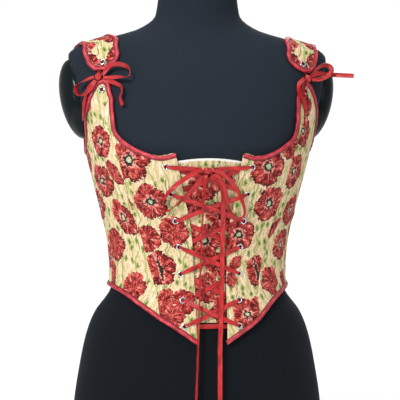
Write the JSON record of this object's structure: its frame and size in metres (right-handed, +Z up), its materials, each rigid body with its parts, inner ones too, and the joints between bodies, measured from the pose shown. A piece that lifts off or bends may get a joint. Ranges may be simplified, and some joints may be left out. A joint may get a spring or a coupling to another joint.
{
  "type": "corset vest on a dress form",
  "caption": "Laced corset vest of flowered tapestry cloth with bound edges and tied wide straps, worn by a limbless dress form.",
  "frame": {"origin": "centre of the dress form's flat foot", "axes": "+Z up the figure, -Y the way the chest faces, +X to the right as seen from the front"},
  "size_m": [0.4033, 0.2503, 0.618],
  "materials": {
    "jersey": "matte dark jersey",
    "gloss_cap": "glossy dark",
    "tapestry": "woven tapestry, cream ground with red flowers",
    "bias": "red satin bias",
    "ribbon": "red satin ribbon",
    "eyelet": "polished silver"
  },
  "bodies": {
    "root": {"form_torso": "jersey", "form_arm_cap_left": "gloss_cap", "form_arm_cap_right": "gloss_cap", "placket": "tapestry", "centre_front_left": "tapestry", "side_front_left": "tapestry", "back_left": "tapestry", "centre_front_right": "tapestry", "side_front_right": "tapestry", "back_right": "tapestry", "binding_front_left": "bias", "binding_back_left": "bias", "binding_hem_left": "bias", "binding_front_right": "bias", "binding_back_right": "bias", "binding_hem_right": "bias", "eyelet_left_1": "eyelet", "eyelet_left_2": "eyelet", "eyelet_left_3": "eyelet", "eyelet_left_4": "eyelet", "eyelet_left_5": "eyelet", "eyelet_left_6": "eyelet", "eyelet_left_7": "eyelet", "eyelet_strap_left": "eyelet", "eyelet_tab_left": "eyelet", "eyelet_right_1": "eyelet", "eyelet_right_2": "eyelet", "eyelet_right_3": "eyelet", "eyelet_right_4": "eyelet", "eyelet_right_5": "eyelet", "eyelet_right_6": "eyelet", "eyelet_right_7": "eyelet", "eyelet_strap_right": "eyelet", "eyelet_tab_right": "eyelet", "lace_a": "ribbon", "lace_b": "ribbon", "bow_knot": "ribbon", "bow_loop_left": "ribbon", "bow_loop_right": "ribbon", "bow_tail_left": "ribbon", "bow_tail_right": "ribbon", "tie_tab_left": "ribbon", "tie_strap_left": "ribbon", "tie_knot_left": "ribbon", "tie_loop_in_left": "ribbon", "tie_loop_out_left": "ribbon", "tie_tail_in_left": "ribbon", "tie_tail_out_left": "ribbon", "tie_tab_right": "ribbon", "tie_strap_right": "ribbon", "tie_knot_right": "ribbon", "tie_loop_in_right": "ribbon", "tie_loop_out_right": "ribbon", "tie_tail_in_right": "ribbon", "tie_tail_out_right": "ribbon"}
  },
  "joints": []
}
